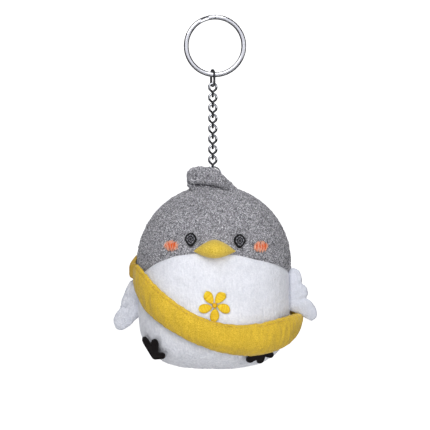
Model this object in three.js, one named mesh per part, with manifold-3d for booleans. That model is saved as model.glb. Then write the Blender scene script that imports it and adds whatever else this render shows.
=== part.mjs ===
// Plush bird keychain: split ring, curb chain, jump ring and a stuffed bird with a sash.
// Millimetres, +Z up, the bird faces -Y. The origin is the inside top of the split ring,
// the point where the ring hangs on a hook or a finger.
import * as THREE from 'three';
import { mergeVertices } from 'three/addons/utils/BufferGeometryUtils.js';
import Module from 'manifold-3d';

const wasm = await Module();
wasm.setup();

// ---------- driving dimensions ----------
const RING_OUTER_RADIUS = 15;
const RING_BAND_WIDTH = 2.35;
const RING_COIL_THICKNESS = 1.0;
const RING_COIL_OFFSET = 0.575;
const RING_CHAMFER = 0.3;
const RING_MIDDLE_RADIUS = RING_OUTER_RADIUS - RING_BAND_WIDTH / 2;
const RING_CENTRE_Z = -(RING_OUTER_RADIUS - RING_BAND_WIDTH);
const RING_CROSSOVER_START = 325;
const RING_CROSSOVER_END = 352;
const RING_BACK_END = 675;

const WIRE_RADIUS = 0.575;
const LINK_COUNT = 8;
const LINK_PITCH = 4.98;
const LINK_HALF_WIDTH = 1.73;
const LINK_HALF_LENGTH = 3.125;
const CHAIN_TOP_Z = -30.05;
const CHAIN_X = -1.1;

const TOP_LINK_HALF_WIDTH = 2.26;
const TOP_LINK_HALF_LENGTH = 3.84;
const TOP_LINK_CENTRE_Z = -28.06;
const TOP_LINK_TURN = 20;

const JUMP_RADIUS = 3.925;
const JUMP_WIRE_RADIUS = 0.425;
const JUMP_CENTRE_Z = -74.51;

const LOOP_RADIUS = 1.15;
const LOOP_THICKNESS = 0.7;
const LOOP_WIDTH = 2.4;

const BODY_X = -0.5;
const BODY_RADIUS = 37.2;
const BODY_DEPTH = 33;
const EQUATOR_Z = -116.4;
const LOWER_HEIGHT = 51.6;
const SKIN_THICKNESS = 1.6;
const GAP = 0.3;
const LAID_ON = 0.45;
const WING_CLEARANCE = 1.0;
const SEAM_FRONT_Z = -111.9;
const SEAM_SLOPE = 0.32;
const BASE_SEAM_Z = -163;

const CROWN_Z = EQUATOR_Z + BODY_RADIUS;

// ---------- helpers ----------
const radians = THREE.MathUtils.degToRad;

function solid(geometry) {
  const plain = geometry.clone();
  plain.deleteAttribute('normal');
  plain.deleteAttribute('uv');
  const merged = mergeVertices(plain, 1e-4);
  const vertProperties = new Float32Array(merged.attributes.position.array);
  const faces = merged.index.array;
  const triangles = [];
  for (let i = 0; i < faces.length; i += 3) {
    const [a, b, c] = [faces[i], faces[i + 1], faces[i + 2]];
    if (a !== b && b !== c && c !== a) triangles.push(a, b, c);
  }
  const build = (list) => new wasm.Manifold(
    new wasm.Mesh({ numProp: 3, vertProperties, triVerts: new Uint32Array(list) }));
  const body = build(triangles);
  return body.volume() > 0 ? body : build(triangles.reverse());
}

function geometryOf(body) {
  const mesh = body.getMesh();
  const geometry = new THREE.BufferGeometry();
  geometry.setAttribute('position', new THREE.BufferAttribute(mesh.vertProperties, 3));
  geometry.setIndex(new THREE.BufferAttribute(mesh.triVerts, 1));
  geometry.computeVertexNormals();
  return geometry;
}

// Skins a row of rings of points; an open row gets a fan cap at each end.
function skin(rings, closed = false) {
  const sides = rings[0].length;
  const positions = [];
  const faces = [];
  for (const ring of rings) for (const p of ring) positions.push(p.x, p.y, p.z);
  const spans = closed ? rings.length : rings.length - 1;
  for (let i = 0; i < spans; i += 1) {
    const near = i * sides;
    const far = ((i + 1) % rings.length) * sides;
    for (let j = 0; j < sides; j += 1) {
      const k = (j + 1) % sides;
      faces.push(near + j, far + j, far + k, near + j, far + k, near + k);
    }
  }
  if (!closed) {
    for (const [ring, first, flip] of [[rings[0], 0, false],
      [rings.at(-1), (rings.length - 1) * sides, true]]) {
      const middle = new THREE.Vector3();
      for (const p of ring) middle.addScaledVector(p, 1 / sides);
      positions.push(middle.x, middle.y, middle.z);
      const centre = positions.length / 3 - 1;
      for (let j = 0; j < sides; j += 1) {
        const k = (j + 1) % sides;
        faces.push(centre, first + (flip ? k : j), first + (flip ? j : k));
      }
    }
  }
  const geometry = new THREE.BufferGeometry();
  geometry.setAttribute('position', new THREE.Float32BufferAttribute(positions, 3));
  geometry.setIndex(faces);
  return solid(geometry);
}

// A flat outline pulled through the whole depth of the bird, facing -Y.
function prism(shape, near = -60, far = 0) {
  const geometry = new THREE.ExtrudeGeometry(shape,
    { depth: far - near, bevelEnabled: false, curveSegments: 5 });
  geometry.rotateX(Math.PI / 2);
  geometry.translate(0, far, 0);
  return solid(geometry);
}

function block(x0, x1, y0, y1, z0, z1) {
  const geometry = new THREE.BoxGeometry(x1 - x0, y1 - y0, z1 - z0);
  geometry.translate((x0 + x1) / 2, (y0 + y1) / 2, (z0 + z1) / 2);
  return solid(geometry);
}

// ---------- the stuffed body's outline ----------
function halfWidth(z, offset = 0) {
  const radius = BODY_RADIUS + offset;
  if (z >= EQUATOR_Z) return Math.sqrt(Math.max(radius ** 2 - (z - EQUATOR_Z) ** 2, 0));
  const drop = Math.min((EQUATOR_Z - z) / (LOWER_HEIGHT + offset), 1);
  return radius * (1 - drop ** 5.6) ** (1 / 2.8);
}

function bodySolid(offset, around = 40, levels = 11) {
  const profile = [];
  for (let i = 0; i <= levels; i += 1) {
    const lower = Math.sin((i / levels) * Math.PI / 2);
    const z = EQUATOR_Z - (LOWER_HEIGHT + offset) * (1 - lower) ** 0.6;
    profile.push(new THREE.Vector2(i === 0 ? 0 : halfWidth(z, offset), z));
  }
  for (let i = 1; i <= levels; i += 1) {
    const angle = (i / levels) * Math.PI / 2;
    const radius = BODY_RADIUS + offset;
    const r = i === levels ? 0 : radius * Math.cos(angle);
    profile.push(new THREE.Vector2(r, EQUATOR_Z + radius * Math.sin(angle)));
  }
  const geometry = new THREE.LatheGeometry(profile, around);
  geometry.rotateX(Math.PI / 2);
  geometry.scale(1, (BODY_DEPTH + offset) / (BODY_RADIUS + offset), 1);
  geometry.translate(BODY_X, 0, 0);
  return solid(geometry);
}

// A point at an angle round the body (0 left, 90 front, 180 right, 270 back).
function aroundBody(angle, z, offset) {
  const r = halfWidth(z, offset);
  const depth = (BODY_DEPTH + offset) / (BODY_RADIUS + offset);
  return new THREE.Vector3(
    BODY_X - r * Math.cos(radians(angle)), -r * depth * Math.sin(radians(angle)), z);
}

const bodyOuter = bodySolid(0);
const bodyClearance = bodySolid(GAP);

// A patch lying on the front of the body: its outline as seen from the front.
function patch(shape, height) {
  return prism(shape).intersect(bodySolid(GAP + height)).subtract(bodyClearance);
}

// ---------- metal ----------
function splitRing() {
  const half = RING_BAND_WIDTH / 2;
  const thick = RING_COIL_THICKNESS / 2;
  const c = RING_CHAMFER;
  const section = [[-half, -thick + c], [-half + c, -thick], [half - c, -thick],
    [half, -thick + c], [half, thick - c], [half - c, thick], [-half + c, thick],
    [-half, thick - c]];
  const steps = 110;
  const rings = [];
  for (let i = 0; i <= steps; i += 1) {
    const turn = (i / steps) * RING_BACK_END;
    const crossing = THREE.MathUtils.smoothstep(turn, RING_CROSSOVER_START, RING_CROSSOVER_END);
    const y = RING_COIL_OFFSET * (2 * crossing - 1);
    const angle = radians(turn);
    rings.push(section.map(([radial, axial]) => {
      const r = RING_MIDDLE_RADIUS + radial;
      return new THREE.Vector3(r * Math.sin(angle), y + axial,
        RING_CENTRE_Z + r * Math.cos(angle));
    }));
  }
  return skin(rings);
}

// A round-wire link: an oval with half-round ends, its plane turned from topTurn at
// the top to bottomTurn at the bottom (0 faces the front, 90 is edge-on).
function wireLink(x, z, halfWide, halfLong, topTurn, bottomTurn, steps = 22, sides = 6) {
  const straight = halfLong - halfWide;
  const perimeter = 4 * straight + 2 * Math.PI * halfWide;
  const place = (t) => {
    const s = ((t % 1) + 1) % 1 * perimeter;
    const half = perimeter / 2;
    const side = s < half ? 1 : -1;
    const d = s < half ? s : s - half;
    let u = halfWide;
    let w = d - straight;
    if (d > 2 * straight) {
      const angle = (d - 2 * straight) / halfWide;
      u = halfWide * Math.cos(angle);
      w = straight + halfWide * Math.sin(angle);
    }
    const flat = { u: u * side, w: w * side };
    const turn = radians(THREE.MathUtils.lerp(topTurn, bottomTurn,
      THREE.MathUtils.smoothstep(-flat.w, -straight, straight)));
    return new THREE.Vector3(x + flat.u * Math.cos(turn), -flat.u * Math.sin(turn), z + flat.w);
  };
  const rings = [];
  for (let i = 0; i < steps; i += 1) {
    const here = place(i / steps);
    const ahead = place((i + 0.05) / steps).sub(place((i - 0.05) / steps)).normalize();
    const out = new THREE.Vector3(here.x - x, here.y, (here.z - z) * 0.4);
    out.addScaledVector(ahead, -out.dot(ahead)).normalize();
    const side = new THREE.Vector3().crossVectors(ahead, out);
    const ring = [];
    for (let j = 0; j < sides; j += 1) {
      const angle = (j + 0.5) * 2 * Math.PI / sides;
      ring.push(here.clone().addScaledVector(out, WIRE_RADIUS * Math.cos(angle))
        .addScaledVector(side, WIRE_RADIUS * Math.sin(angle)));
    }
    rings.push(ring);
  }
  return skin(rings, true);
}

function jumpRing() {
  const geometry = new THREE.TorusGeometry(JUMP_RADIUS, JUMP_WIRE_RADIUS, 8, 28);
  geometry.rotateX(Math.PI / 2);
  geometry.translate(CHAIN_X, 0, JUMP_CENTRE_Z);
  return solid(geometry);
}

// The sewn tape that holds the jump ring, a narrow arch standing in the crown seam.
function hangingLoop() {
  const archZ = JUMP_CENTRE_Z - JUMP_RADIUS;
  const footZ = CROWN_Z + GAP;
  const stations = [[-90, footZ]];
  for (let angle = -90; angle <= 90; angle += 22.5) stations.push([angle, archZ]);
  stations.push([90, footZ]);
  const rings = stations.map(([angle, z]) => {
    const across = Math.sin(radians(angle));
    const up = Math.cos(radians(angle));
    return [[-1, -1], [1, -1], [1, 1], [-1, 1]].map(([wide, thick]) => {
      const r = LOOP_RADIUS + thick * LOOP_THICKNESS / 2;
      return new THREE.Vector3(CHAIN_X + wide * LOOP_WIDTH / 2, r * across, z + r * up);
    });
  });
  return skin(rings);
}

// ---------- stuffed body: four fabric panels, a base and the filling ----------
function bodyPanels() {
  const shell = bodyOuter.subtract(bodySolid(-SKIN_THICKNESS, 28, 8));
  const slab = new THREE.BoxGeometry(200, 200, 200);
  slab.translate(0, 0, 100);
  slab.rotateX(-Math.atan(SEAM_SLOPE));
  const seamZ = SEAM_FRONT_Z - SEAM_SLOPE * BODY_DEPTH;
  const above = solid(slab.clone().translate(0, 0, seamZ + GAP / 2));
  const raised = solid(slab.clone().translate(0, 0, seamZ - GAP / 2));
  const front = block(-80, 80, -80, -GAP / 2, -200, 0);
  const back = block(-80, 80, GAP / 2, 80, -200, 0);
  const high = block(-80, 80, -80, 80, BASE_SEAM_Z + GAP / 2, 0);
  const low = block(-80, 80, -80, 80, -200, BASE_SEAM_Z - GAP / 2);
  const head = shell.intersect(above);
  const lower = shell.subtract(raised).intersect(high);
  return {
    head_front_panel: head.intersect(front),
    head_back_panel: head.intersect(back),
    belly_front_panel: lower.intersect(front),
    belly_back_panel: lower.intersect(back),
    base_panel: shell.intersect(low),
  };
}

// ---------- the crest, a rolled piece of the head fabric ----------
const CREST_Y = -6.8;

function crest() {
  // along X: middle height, half height, half depth
  const stations = [[-13.0, -75.6, 1.2, 1.2], [-12.2, -75.8, 3.4, 3.0], [-9, -76.4, 5.0, 4.3],
    [-4, -76.7, 5.7, 4.7], [0, -77.2, 5.6, 4.7], [4, -80, 3.8, 4.4], [8, -82.2, 2.5, 3.4],
    [10.4, -83.2, 1.0, 1.4]];
  const rings = stations.map(([x, z, high, deep]) => {
    const ring = [];
    for (let j = 0; j < 12; j += 1) {
      const angle = j * Math.PI / 6;
      ring.push(new THREE.Vector3(x, CREST_Y + deep * Math.cos(angle), z + high * Math.sin(angle)));
    }
    return ring;
  });
  return skin(rings).subtract(bodyClearance);
}

// ---------- face ----------
const BEAK = { x: -0.2, z: -110.1, halfWide: 10.1, halfHigh: 4.6, reach: 7.5 };

function beak() {
  const steps = 12;
  const rings = [];
  for (let i = 0; i <= steps; i += 1) {
    const s = THREE.MathUtils.clamp((i / steps) * 2 - 1, -0.985, 0.985);
    const taper = 1 - Math.abs(s) ** 1.7;
    const x = BEAK.x + s * BEAK.halfWide;
    const surface = aroundBody(90, BEAK.z, 0).y + 0.012 * (x - BODY_X) ** 2;
    const ring = [];
    for (let j = 0; j < 12; j += 1) {
      const angle = j * Math.PI / 6;
      ring.push(new THREE.Vector3(x, surface + 2 - (BEAK.reach + 2) * taper * Math.cos(angle),
        BEAK.z + BEAK.halfHigh * taper * Math.sin(angle)));
    }
    rings.push(ring);
  }
  return skin(rings).intersect(block(-40, 40, -80, -20, -200, 0)).subtract(bodyClearance);
}

function oval(x, z, halfWide, halfHigh, point = 0) {
  const shape = new THREE.Shape();
  for (let i = 0; i < 16; i += 1) {
    const angle = i * Math.PI / 8;
    const down = Math.max(-Math.sin(angle), 0);
    const px = x + halfWide * Math.cos(angle) * (1 - point * down ** 2);
    const pz = z + halfHigh * Math.sin(angle);
    if (i === 0) shape.moveTo(px, pz);
    else shape.lineTo(px, pz);
  }
  return shape;
}

// ---------- chest motif: a plain five-petal flower in satin stitch ----------
const MOTIF = { x: -0.2, z: -135.4, radius: 7.6, petals: 5 };

function motif() {
  const shape = new THREE.Shape();
  const steps = 40;
  for (let i = 0; i < steps; i += 1) {
    const angle = i * 2 * Math.PI / steps;
    const r = MOTIF.radius * (0.55 + 0.45 * Math.abs(Math.sin(angle * MOTIF.petals / 2)) ** 0.7);
    const px = MOTIF.x + r * Math.sin(angle);
    const pz = MOTIF.z + r * Math.cos(angle);
    if (i === 0) shape.moveTo(px, pz);
    else shape.lineTo(px, pz);
  }
  return patch(shape, 0.7);
}

// ---------- feet: three toes spreading from a heel ----------
function foot(heel, toes, reach, coveredAbove = EQUATOR_Z) {
  let whole = null;
  for (const [x, z, r] of toes) {
    const along = Math.atan2(z - heel.z, x - heel.x);
    const shape = new THREE.Shape();
    shape.absarc(x, z, r, along - Math.PI / 2, along + Math.PI / 2, false);
    shape.absarc(heel.x, heel.z, heel.r, along + Math.PI / 2, along + Math.PI * 1.5, false);
    const toe = prism(shape, -60, reach);
    whole = whole ? whole.add(toe) : toe;
  }
  return whole.subtract(block(-60, 60, -80, 0, coveredAbove, 0))
    .intersect(bodySolid(GAP + 1.1)).subtract(bodyClearance);
}

// ---------- sash: a stuffed crescent across the front and a strap round the back ----------
// stations along the crescent: angle round the body, top edge, bottom edge, thickness
const SASH_STATIONS = [
  [6, -114.8, -124.6, 2.4], [18, -116.6, -132.2, 3.2], [32, -121.0, -139.2, 3.8],
  [54, -131.6, -147.6, 4.3], [72, -139.4, -153.8, 4.5], [90, -144.2, -158.0, 4.7],
  [108, -145.8, -160.2, 4.9], [126, -144.9, -160.6, 5.0], [144, -142.5, -158.6, 5.0],
  [158, -141.0, -153.4, 4.6], [168, -141.3, -147.0, 3.4], [173, -142.4, -145.0, 2.0]];

function sashCrescent() {
  const curve = (column) => new THREE.CatmullRomCurve3(
    SASH_STATIONS.map((row) => new THREE.Vector3(row[0], row[column], 0)), false, 'centripetal');
  const tops = curve(1);
  const bottoms = curve(2);
  const bulges = curve(3);
  const rings = [];
  const steps = 26;
  for (let i = 0; i <= steps; i += 1) {
    const t = i / steps;
    const angle = tops.getPoint(t).x;
    const top = tops.getPoint(t).y;
    const bottom = bottoms.getPoint(t).y;
    const bulge = bulges.getPoint(t).y;
    const ring = [];
    for (let j = 0; j <= 6; j += 1) {
      const s = j / 6;
      const z = THREE.MathUtils.lerp(top, bottom, s);
      const lift = 0.7 + bulge * Math.sqrt(Math.max(1 - (2 * s - 1) ** 2, 0)) * 0.86;
      ring.push(aroundBody(angle, z, LAID_ON + lift));
    }
    for (let j = 6; j >= 0; j -= 2) {
      const z = THREE.MathUtils.lerp(top, bottom, j / 6);
      ring.push(aroundBody(angle, z, LAID_ON));
    }
    rings.push(ring);
  }
  return skin(rings);
}

const STRAP = { middleZ: -131.8, fall: 0.29, rise: 0.5, width: 8, thickness: 2.4 };

function backStrap() {
  const rings = [];
  const steps = 22;
  for (let i = 0; i <= steps; i += 1) {
    const angle = THREE.MathUtils.lerp(184, 363, i / steps);
    let z = STRAP.middleZ;
    for (let k = 0; k < 6; k += 1) {
      const p = aroundBody(angle, z, GAP);
      z = STRAP.middleZ - STRAP.fall * p.x + STRAP.rise * p.y;
    }
    const half = STRAP.width / 2;
    const ring = [];
    for (const s of [-1, -0.5, 0, 0.5, 1]) {
      const lift = Math.abs(s) === 1 ? STRAP.thickness * 0.5 : STRAP.thickness;
      ring.push(aroundBody(angle, z + s * half, LAID_ON + lift));
    }
    for (const s of [1, 0, -1]) ring.push(aroundBody(angle, z + s * half, LAID_ON));
    rings.push(ring);
  }
  return skin(rings);
}

// ---------- wings: padded three-lobed flaps sewn along their inner edge ----------
const WING_THICKNESS = 4;

function wing(outline, middleY) {
  const corners = outline.map(([x, z]) => new THREE.Vector3(x, middleY, z));
  const edge = new THREE.CatmullRomCurve3(corners, true, 'centripetal').getPoints(32).slice(1);
  const middle = new THREE.Vector3();
  for (const p of edge) middle.addScaledVector(p, 1 / edge.length);
  const layers = [[-1, 0.8], [-0.6, 0.96], [0, 1], [0.6, 0.96], [1, 0.8]];
  const rings = layers.map(([across, size]) => edge.map((p) => {
    const q = p.clone().sub(middle).multiplyScalar(size).add(middle);
    q.y = middleY + across * WING_THICKNESS / 2;
    return q;
  }));
  return skin(rings).subtract(bodySolid(WING_CLEARANCE));
}

const WINGS = {
  left: {
    y: 4.5,
    outline: [[-37.5, -125.8], [-40.6, -126.4], [-44.0, -131.2], [-45.0, -135.4],
      [-47.4, -139.8], [-48.7, -144.2], [-47.8, -148.0], [-45.2, -148.8], [-41.6, -147.6],
      [-38.6, -145.0], [-37.2, -141.0]],
  },
  right: {
    y: -5,
    outline: [[36.0, -120.6], [40.2, -121.6], [41.6, -124.6], [44.0, -130.0], [44.6, -133.2],
      [47.6, -136.6], [48.8, -140.8], [46.0, -143.9], [42.4, -141.6], [37.2, -138.0]],
  },
};

// ---------- assembly ----------
const group = new THREE.Group();

function add(name, body, colour, roughness, metalness = 0) {
  const material = new THREE.MeshStandardMaterial({ color: colour, roughness, metalness });
  const mesh = new THREE.Mesh(geometryOf(body), material);
  mesh.name = name;
  group.add(mesh);
}

const STEEL = '#c9ccd1';
const GREY = '#96969c';
const WHITE = '#e2e5ec';
const YELLOW = '#d4b040';
const BLACK = '#151214';

add('split_ring', splitRing(), STEEL, 0.2, 1);
add('top_link', wireLink(CHAIN_X, TOP_LINK_CENTRE_Z, TOP_LINK_HALF_WIDTH,
  TOP_LINK_HALF_LENGTH, 90 - TOP_LINK_TURN, 90 - TOP_LINK_TURN, 26, 8), STEEL, 0.25, 1);
for (let i = 0; i < LINK_COUNT; i += 1) {
  const z = CHAIN_TOP_Z - LINK_HALF_LENGTH - WIRE_RADIUS - i * LINK_PITCH;
  add(`chain_link_${i + 1}`,
    wireLink(CHAIN_X, z, LINK_HALF_WIDTH, LINK_HALF_LENGTH, 0, 90), STEEL, 0.25, 1);
}
add('jump_ring', jumpRing(), STEEL, 0.25, 1);
add('hanging_loop', hangingLoop(), GREY, 0.9);

for (const [name, body] of Object.entries(bodyPanels())) {
  add(name, body, name.startsWith('head') ? GREY : WHITE, 0.95);
}
add('stuffing', bodySolid(-SKIN_THICKNESS - 2 * GAP, 24, 7), '#f4f2ee', 1);
add('crest', crest(), GREY, 0.95);
add('beak', beak(), '#d8bc38', 0.85);
add('left_eye', patch(oval(-11.3, -105.7, 2.65, 3.2, 0.45), 0.8), '#2e3036', 0.6);
add('right_eye', patch(oval(11.5, -106.4, 2.65, 3.2, 0.45), 0.8), '#2e3036', 0.6);
add('left_cheek', patch(oval(-20.7, -108.3, 3.45, 2.65), 0.7), '#e8582a', 0.6);
add('right_cheek', patch(oval(21.6, -108.7, 3.45, 2.65), 0.7), '#e8582a', 0.6);
add('chest_motif', motif(), '#f0c020', 0.55);
add('left_wing', wing(WINGS.left.outline, WINGS.left.y), WHITE, 0.95);
add('right_wing', wing(WINGS.right.outline, WINGS.right.y), WHITE, 0.95);
add('left_foot', foot({ x: -28.6, z: -161, r: 1.7 },
  [[-33.4, -153.2, 1.6], [-28.6, -154.3, 1.8], [-25.0, -160.6, 1.6]], -3), BLACK, 0.9);
add('right_foot', foot({ x: 22.6, z: -158.4, r: 1.9 },
  [[16.4, -162.4, 1.8], [21.4, -162.8, 1.8], [26.6, -160.6, 1.5]], -9, -161), BLACK, 0.9);
add('sash_crescent', sashCrescent(), YELLOW, 0.85);
add('sash_back_strap', backStrap(), '#c99a3c', 0.85);

export default group;
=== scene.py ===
# %% [markdown]
# # A stuffed bird on a key ring
# The real piece is a palm-sized soft toy that hangs from a steel split ring by a short curb chain.
# The metal is bent wire, the bird is sewn from four body panels and a base round loose fibre, and its
# beak, wings, crest and sash are small stuffed pieces of their own. The CAD frame says where each
# piece is and how it moves, so this file only makes the surfaces: cloth that swells between its
# seams, pile, thread, velour and bright nickel plate. Lengths are written in millimetres and
# multiplied by MM where they become Blender's metres.

# %% Load the frame
import math
import bpy
import bmesh
import numpy as np
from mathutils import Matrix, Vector, noise


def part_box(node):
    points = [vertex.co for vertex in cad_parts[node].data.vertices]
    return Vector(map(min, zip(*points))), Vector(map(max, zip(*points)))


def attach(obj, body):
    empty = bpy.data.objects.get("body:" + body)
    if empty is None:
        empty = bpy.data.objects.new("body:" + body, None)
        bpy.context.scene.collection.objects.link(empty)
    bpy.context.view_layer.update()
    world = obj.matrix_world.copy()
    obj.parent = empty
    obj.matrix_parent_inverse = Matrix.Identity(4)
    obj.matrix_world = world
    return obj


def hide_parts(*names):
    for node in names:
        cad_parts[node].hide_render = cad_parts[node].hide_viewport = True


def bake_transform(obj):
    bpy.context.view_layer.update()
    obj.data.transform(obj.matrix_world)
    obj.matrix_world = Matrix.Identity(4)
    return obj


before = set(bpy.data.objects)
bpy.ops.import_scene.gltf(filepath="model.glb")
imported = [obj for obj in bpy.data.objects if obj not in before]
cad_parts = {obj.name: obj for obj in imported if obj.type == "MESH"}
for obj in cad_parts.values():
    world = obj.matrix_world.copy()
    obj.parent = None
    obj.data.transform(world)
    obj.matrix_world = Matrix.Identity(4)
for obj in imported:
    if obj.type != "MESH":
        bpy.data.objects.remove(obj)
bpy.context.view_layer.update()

MM = 0.001
PLUSH = "plush"

# %% [markdown]
# ## The camera
# A straight front view with a long lens keeps the toy's proportions true. The view is 206.4 mm tall
# at the hanging plane, with its middle a little below the chain.

# %% Camera
VIEW_HEIGHT = 206.4 * MM
VIEW_MIDDLE = Vector((0.0, 0.0, -93.8 * MM))
LENS = 300.0
camera_data = bpy.data.cameras.new("camera")
camera_data.lens = LENS
camera_data.sensor_width = 36.0
camera_distance = VIEW_HEIGHT * LENS / camera_data.sensor_width
camera_data.clip_end = 20.0
camera = bpy.data.objects.new("camera", camera_data)
camera.location = VIEW_MIDDLE + Vector((0.0, -camera_distance, 0.0))
camera.rotation_euler = (math.radians(90), 0.0, 0.0)
bpy.context.scene.collection.objects.link(camera)
bpy.context.scene.camera = camera
print("camera stands", round(camera_distance, 2), "m in front")

# %% [markdown]
# ## Small helpers
# Most pieces are built the same way: a list of points and faces becomes a mesh, gets smooth
# shading and a finish, and then rides on its CAD body in place of the plain CAD solid.

# %% Making an object from points and faces
def new_object(name, points, faces):
    mesh = bpy.data.meshes.new(name)
    mesh.from_pydata([tuple(p) for p in points], [], [tuple(f) for f in faces])
    mesh.validate()
    mesh.polygons.foreach_set("use_smooth", [True] * len(mesh.polygons))
    obj = bpy.data.objects.new(name, mesh)
    bpy.context.scene.collection.objects.link(obj)
    return obj


def outward(obj):
    shape = bmesh.new()
    shape.from_mesh(obj.data)
    bmesh.ops.recalc_face_normals(shape, faces=shape.faces)
    shape.to_mesh(obj.data)
    shape.free()


def install(obj, body, finish, nodes=()):
    """body is None for a piece that is not attached to a body."""
    obj.data.materials.clear()
    obj.data.materials.append(finish)
    if body:
        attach(obj, body)
    if nodes:
        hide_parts(*nodes)


def coordinates(obj):
    flat = np.empty(len(obj.data.vertices) * 3)
    obj.data.vertices.foreach_get("co", flat)
    return flat.reshape(-1, 3)


def set_coordinates(obj, points):
    obj.data.vertices.foreach_set("co", np.asarray(points, float).ravel())
    obj.data.update()


def vertex_normals(obj):
    flat = np.empty(len(obj.data.vertices) * 3)
    obj.data.vertices.foreach_get("normal", flat)
    return flat.reshape(-1, 3)


def set_tone(obj, values, name="tone"):
    """Keeps one number from 0 to 1 at each point, for the finish to use."""
    attribute = obj.data.attributes.new(name, "FLOAT", "POINT")
    attribute.data.foreach_set("value", np.clip(np.asarray(values, float), 0, 1))


def subdivide(obj, levels):
    modifier = obj.modifiers.new("smooth", "SUBSURF")
    modifier.levels = levels
    evaluated = obj.evaluated_get(bpy.context.evaluated_depsgraph_get())
    finer = bpy.data.meshes.new_from_object(evaluated)
    obj.modifiers.remove(modifier)
    obj.data = finer
    finer.polygons.foreach_set("use_smooth", [True] * len(finer.polygons))


# %% Joining rows of points into a surface
def loft(rows, closed_ends=False, caps=False):
    """Quads between closed rows of points; closed_ends joins the last row to the first."""
    rows = [np.asarray(r, float) for r in rows]
    count = len(rows[0])
    points = np.concatenate(rows)
    faces = []
    spans = len(rows) if closed_ends else len(rows) - 1
    for i in range(spans):
        near = i * count
        far = ((i + 1) % len(rows)) * count
        for j in range(count):
            k = (j + 1) % count
            faces.append((near + j, near + k, far + k, far + j))
    if caps:
        points = np.vstack([points, rows[0].mean(0), rows[-1].mean(0)])
        last = (len(rows) - 1) * count
        for j in range(count):
            k = (j + 1) % count
            faces.append((len(points) - 2, k, j))
            faces.append((len(points) - 1, last + j, last + k))
    return points, faces


def sweep(path, sides, radius, closed=False, out=None):
    """A round tube along a path; radius may vary, and out turns the section to a direction."""
    path = np.asarray(path, float)
    radius = np.broadcast_to(radius, len(path))
    if closed:
        ahead = np.roll(path, -1, 0) - np.roll(path, 1, 0)
    else:
        ahead = np.gradient(path, axis=0)
    ahead /= np.linalg.norm(ahead, axis=1)[:, None]
    if out is None:
        out = np.cross(ahead, (0.31, 0.22, 0.92))
    out = out - ahead * (out * ahead).sum(1)[:, None]
    out /= np.linalg.norm(out, axis=1)[:, None]
    side = np.cross(ahead, out)
    turn = np.arange(sides) * 2 * np.pi / sides
    rows = [p + r * (np.outer(np.cos(turn), o) + np.outer(np.sin(turn), s))
            for p, r, o, s in zip(path, radius, out, side)]
    return loft(rows, closed_ends=closed, caps=not closed)


def merge(parts):
    points, faces, start = [], [], 0
    for part_points, part_faces in parts:
        points.append(part_points)
        faces += [tuple(i + start for i in face) for face in part_faces]
        start += len(part_points)
    return np.vstack(points), faces


# %% [markdown]
# ## Finishes
# Each finish is a small node tree. Cloth has high roughness, some sheen for the fibres that stand
# up, a colour that varies at two scales and a fine bump. Metal is a mirror with a little
# roughness that changes from place to place, which is what makes plated wire look real.

# %% Node helpers
def linear(red, green, blue):
    def channel(v):
        v = v / 255
        return v / 12.92 if v <= 0.04045 else ((v + 0.055) / 1.055) ** 2.4
    return (channel(red), channel(green), channel(blue), 1.0)


def new_finish(name):
    material = bpy.data.materials.new(name)
    material.use_nodes = True
    tree = material.node_tree
    return material, tree, tree.nodes["Principled BSDF"]


NOISE_ROUGHNESS = 0.55


def add_noise(tree, scale, detail=4.0):
    place = tree.nodes.new("ShaderNodeTexCoord")
    node = tree.nodes.new("ShaderNodeTexNoise")
    node.inputs["Scale"].default_value = scale
    node.inputs["Detail"].default_value = detail
    node.inputs["Roughness"].default_value = NOISE_ROUGHNESS
    tree.links.new(place.outputs["Object"], node.inputs["Vector"])
    return node.outputs["Fac"]


def ramp(tree, value, stops):
    node = tree.nodes.new("ShaderNodeValToRGB")
    while len(node.color_ramp.elements) < len(stops):
        node.color_ramp.elements.new(0.5)
    for element, (place, colour) in zip(node.color_ramp.elements, stops):
        element.position = place
        element.color = colour
    tree.links.new(value, node.inputs["Fac"])
    return node.outputs["Color"]


def mix(tree, factor, first, second, kind="MIX"):
    node = tree.nodes.new("ShaderNodeMix")
    node.data_type = "RGBA"
    node.blend_type = kind
    for socket, value in ((node.inputs[0], factor), (node.inputs[6], first),
                          (node.inputs[7], second)):
        if isinstance(value, (int, float, tuple)):
            socket.default_value = value
        else:
            tree.links.new(value, socket)
    return node.outputs[2]


def bump(tree, shader, height, distance, strength=1.0):
    node = tree.nodes.new("ShaderNodeBump")
    node.inputs["Distance"].default_value = distance
    node.inputs["Strength"].default_value = strength
    tree.links.new(height, node.inputs["Height"])
    tree.links.new(node.outputs["Normal"], shader.inputs["Normal"])


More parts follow.
